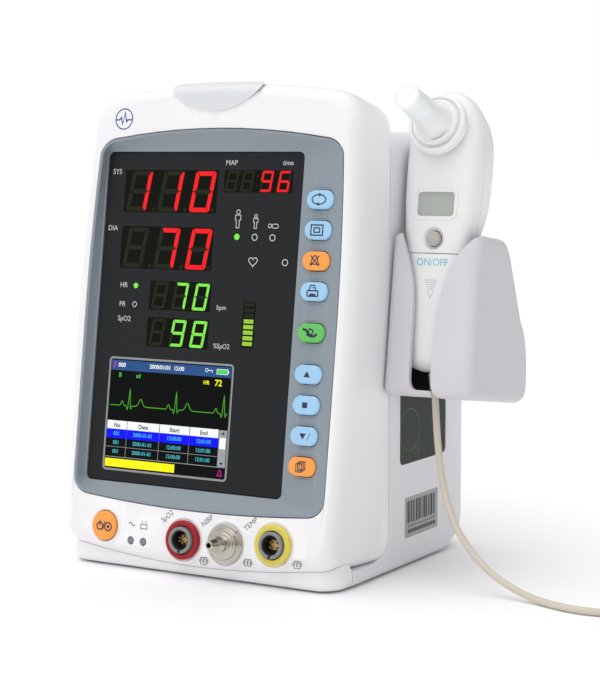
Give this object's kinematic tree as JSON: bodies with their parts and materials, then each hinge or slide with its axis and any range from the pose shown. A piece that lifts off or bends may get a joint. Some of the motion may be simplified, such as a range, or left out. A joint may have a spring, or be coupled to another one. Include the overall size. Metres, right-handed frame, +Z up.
{
  "type": "patient monitor",
  "caption": "Upright bedside vital-signs monitor with a leaning display panel, a column of keys, three patient ports and a corded ear thermometer in a side holder.",
  "frame": {"origin": "on the tabletop, below the middle of the box of everything but the thermometer's free cord", "axes": "+Z up, -Y out of the display, +X to the viewer's right, the side that carries the thermometer"},
  "size_m": [0.3485, 0.1752, 0.2354],
  "materials": {
    "shell_white": "fine satin moulded plastic",
    "holder_white": "satin moulded plastic",
    "thermometer_white": "smooth satin moulded plastic",
    "bezel_grey": "fine textured moulded plastic",
    "window_black": "gloss printed acrylic",
    "display_module": "potted display segments",
    "alarm_lens": "frosted translucent lens",
    "lamp_lens": "clear light pipe",
    "key_blue": "satin rubberised key",
    "key_orange": "satin rubberised key",
    "key_green": "satin rubberised key",
    "ring_red": "gloss moulded ring",
    "ring_yellow": "gloss moulded ring",
    "socket_grey": "satin connector shell with gilt contacts",
    "port_metal": "satin nickel plate",
    "module_dark": "dark satin blank plate with green rings",
    "inlet_black": "black moulded plastic",
    "thermometer_lcd": "reflective grey display",
    "thermometer_grey": "grey button",
    "probe_clear": "thin translucent film cover",
    "cord_beige": "satin flexible sheath",
    "plug_grey": "grey moulded connector",
    "foot_rubber": "matt rubber",
    "sheet_metal": "plain sheet",
    "circuit_board": "green solder mask",
    "battery_wrap": "heat-shrink wrapped cells",
    "air_tube": "clear silicone tube"
  },
  "bodies": {
    "root": {"front_cover": "shell_white", "rear_housing": "shell_white", "base_skirt": "shell_white", "alarm_lens": "alarm_lens", "carry_handle": "shell_white", "module_cover": "module_dark", "ac_inlet": "inlet_black", "ground_post": "port_metal", "battery_door": "shell_white", "foot_front_left": "foot_rubber", "foot_front_right": "foot_rubber", "foot_rear_left": "foot_rubber", "foot_rear_right": "foot_rubber", "chassis_frame": "sheet_metal", "main_board": "circuit_board", "power_supply": "circuit_board", "battery_pack": "battery_wrap", "nibp_pump": "sheet_metal", "speaker": "inlet_black", "air_tube": "air_tube", "panel_bezel": "bezel_grey", "display_window": "window_black", "display_board": "circuit_board", "sys_digits": "display_module", "dia_digits": "display_module", "map_digits": "display_module", "hr_digits": "display_module", "spo2_digits": "display_module", "pulse_bargraph": "display_module", "lcd_module": "display_module", "ac_lamp": "lamp_lens", "battery_lamp": "lamp_lens", "spo2_socket": "socket_grey", "spo2_ring": "ring_red", "temp_socket": "socket_grey", "temp_ring": "ring_yellow", "nibp_port": "port_metal", "thermometer_holder": "holder_white", "cord": "cord_beige", "cord_coil": "cord_beige", "cord_plug": "plug_grey"},
    "cycle_key": {"cycle_key": "key_blue"},
    "mode_key": {"mode_key": "key_blue"},
    "alarm_mute_key": {"alarm_mute_key": "key_orange"},
    "print_key": {"print_key": "key_blue"},
    "cuff_key": {"cuff_key": "key_green"},
    "up_key": {"up_key": "key_blue"},
    "select_key": {"select_key": "key_blue"},
    "down_key": {"down_key": "key_blue"},
    "records_key": {"records_key": "key_orange"},
    "power_key": {"power_key": "key_orange"},
    "thermometer": {"thermometer_front": "thermometer_white", "thermometer_back": "thermometer_white", "thermometer_window": "thermometer_lcd", "thermometer_board": "circuit_board", "probe_barrel": "thermometer_white", "strain_relief": "cord_beige"},
    "thermometer_key": {"thermometer_key": "thermometer_grey"},
    "probe_cover": {"probe_cover": "probe_clear"},
    "thermometer_battery_cover": {"thermometer_battery_cover": "thermometer_white"}
  },
  "joints": [
    {"name": "cycle_key_press", "type": "slide", "parent": "root", "child": "cycle_key", "axis": [0, 0.9906, -0.1369], "range_m": [0, 0.001], "stiffness_N_per_m": 400, "springref_m": -0.0005},
    {"name": "mode_key_press", "type": "slide", "parent": "root", "child": "mode_key", "axis": [0, 0.9906, -0.1369], "range_m": [0, 0.001], "stiffness_N_per_m": 400, "springref_m": -0.0005},
    {"name": "alarm_mute_key_press", "type": "slide", "parent": "root", "child": "alarm_mute_key", "axis": [0, 0.9906, -0.1369], "range_m": [0, 0.001], "stiffness_N_per_m": 400, "springref_m": -0.0005},
    {"name": "print_key_press", "type": "slide", "parent": "root", "child": "print_key", "axis": [0, 0.9906, -0.1369], "range_m": [0, 0.001], "stiffness_N_per_m": 400, "springref_m": -0.0005},
    {"name": "cuff_key_press", "type": "slide", "parent": "root", "child": "cuff_key", "axis": [0, 0.9906, -0.1369], "range_m": [0, 0.001], "stiffness_N_per_m": 400, "springref_m": -0.0005},
    {"name": "up_key_press", "type": "slide", "parent": "root", "child": "up_key", "axis": [0, 0.9906, -0.1369], "range_m": [0, 0.001], "stiffness_N_per_m": 400, "springref_m": -0.0005},
    {"name": "select_key_press", "type": "slide", "parent": "root", "child": "select_key", "axis": [0, 0.9906, -0.1369], "range_m": [0, 0.001], "stiffness_N_per_m": 400, "springref_m": -0.0005},
    {"name": "down_key_press", "type": "slide", "parent": "root", "child": "down_key", "axis": [0, 0.9906, -0.1369], "range_m": [0, 0.001], "stiffness_N_per_m": 400, "springref_m": -0.0005},
    {"name": "records_key_press", "type": "slide", "parent": "root", "child": "records_key", "axis": [0, 0.9906, -0.1369], "range_m": [0, 0.001], "stiffness_N_per_m": 400, "springref_m": -0.0005},
    {"name": "power_key_press", "type": "slide", "parent": "root", "child": "power_key", "axis": [0, 0.9906, -0.1369], "range_m": [0, 0.001], "stiffness_N_per_m": 400, "springref_m": -0.0005},
    {"name": "thermometer_lift", "type": "slide", "parent": "root", "child": "thermometer", "axis": [0, 0.1369, 0.9906], "range_m": [0, 0.085]},
    {"name": "thermometer_key_press", "type": "slide", "parent": "thermometer", "child": "thermometer_key", "axis": [0, 0.9906, -0.1369], "range_m": [0, 0.0008], "stiffness_N_per_m": 400, "springref_m": -0.0005},
    {"name": "probe_cover_pull", "type": "slide", "parent": "thermometer", "child": "probe_cover", "axis": [0, -0.9331, 0.3595], "range_m": [0, 0.02]},
    {"name": "battery_cover_slide", "type": "slide", "parent": "thermometer", "child": "thermometer_battery_cover", "axis": [0, -0.1369, -0.9906], "range_m": [0, 0.005]}
  ]
}
